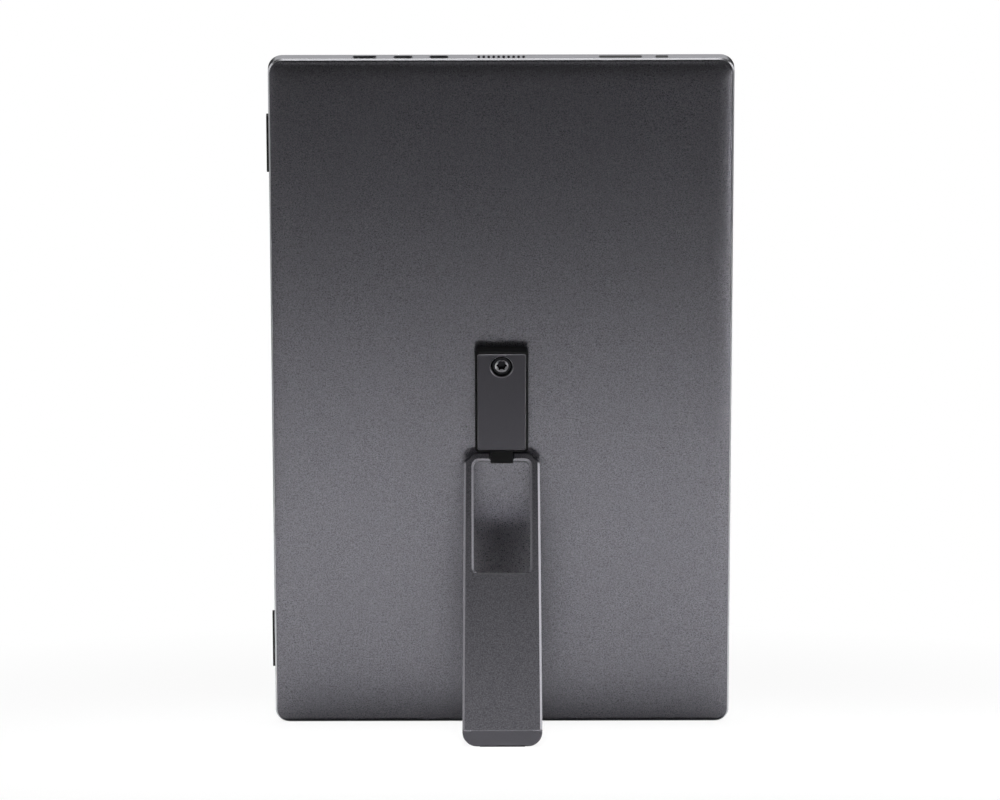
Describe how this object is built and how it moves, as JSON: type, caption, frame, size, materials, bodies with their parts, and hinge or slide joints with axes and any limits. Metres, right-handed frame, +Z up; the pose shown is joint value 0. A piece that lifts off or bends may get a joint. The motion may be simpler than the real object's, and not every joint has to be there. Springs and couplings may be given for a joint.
{
  "type": "portable monitor",
  "caption": "Slim portable monitor standing on its short edge, leaning back on a folding one-leg stand bolted to its back, with edge sockets, sound slots and buttons.",
  "frame": {"origin": "on the surface it stands on, at the middle of the model's footprint", "axes": "+Z up, the screen faces +Y and up, the back and the stand face -Y, +X to the right seen from behind"},
  "size_m": [0.2261, 0.1216, 0.3391],
  "materials": {
    "cover_metal": "fine blasted and anodised, dark grey",
    "frame_metal": "anodised, with a cut bright chamfer",
    "leg_metal": "fine blasted and anodised, dark grey",
    "plate_metal": "anodised, dark grey",
    "block_black": "satin black",
    "screen_glass": "glossy, black printed border",
    "cell_glass": "glossy dark",
    "white_film": "satin",
    "clear_acrylic": "clear",
    "light_strip": "pale yellow diodes on a strip",
    "tray_steel": "plated sheet",
    "board_green": "solder mask",
    "ribbon_amber": "polyimide film",
    "chip_black": "moulded",
    "socket_steel": "plated sheet",
    "black_plastic": "moulded",
    "button_black": "satin moulded",
    "black_rubber": "matte",
    "screw_steel": "satin",
    "washer_steel": "dark spring steel"
  },
  "bodies": {
    "monitor": {"rear_cover": "cover_metal", "side_frame": "frame_metal", "cover_glass": "screen_glass", "lcd_cell": "cell_glass", "optical_films": "white_film", "light_guide": "clear_acrylic", "led_strip": "light_strip", "reflector_sheet": "white_film", "panel_tray": "tray_steel", "panel_driver_board": "board_green", "panel_ribbon": "ribbon_amber", "main_board": "board_green", "board_chips": "chip_black", "shield_can": "socket_steel", "board_screws": "screw_steel", "video_socket_shell": "socket_steel", "video_socket_tongue": "black_plastic", "data_socket_shells": "socket_steel", "data_socket_tongues": "black_plastic", "speaker": "black_plastic", "speaker_gasket": "black_rubber", "button_bracket": "black_plastic", "button_board": "board_green", "button_switches": "socket_steel", "button_ribbon": "ribbon_amber", "rocker_pin": "screw_steel", "rubber_strips": "black_rubber", "stand_anchor": "screw_steel", "stand_pad": "black_rubber", "stand_block": "block_black", "stand_face_plate": "plate_metal", "stand_screw": "screw_steel", "friction_washers": "washer_steel"},
    "leg": {"leg_plate": "leg_metal", "foot_pad": "black_rubber", "hinge_pin": "screw_steel"},
    "rocker": {"rocker_button": "button_black"},
    "power": {"power_button": "button_black"}
  },
  "joints": [
    {"name": "leg_hinge", "type": "hinge", "parent": "monitor", "child": "leg", "pos_m": [0, 0.00242, 0.13822], "axis": [-1, 0, 0], "range_deg": [-34, 144]},
    {"name": "rocker_tilt", "type": "hinge", "parent": "monitor", "child": "rocker", "pos_m": [0.0575, -0.05739, 0.33433], "axis": [0, 0.9455, 0.3256], "range_deg": [-3, 3], "stiffness_Nm_per_rad": 0.15},
    {"name": "power_press", "type": "slide", "parent": "monitor", "child": "power", "axis": [0, 0.3256, -0.9455], "range_m": [0, 0.0004], "stiffness_N_per_m": 2000, "springref_m": -0.0005}
  ]
}
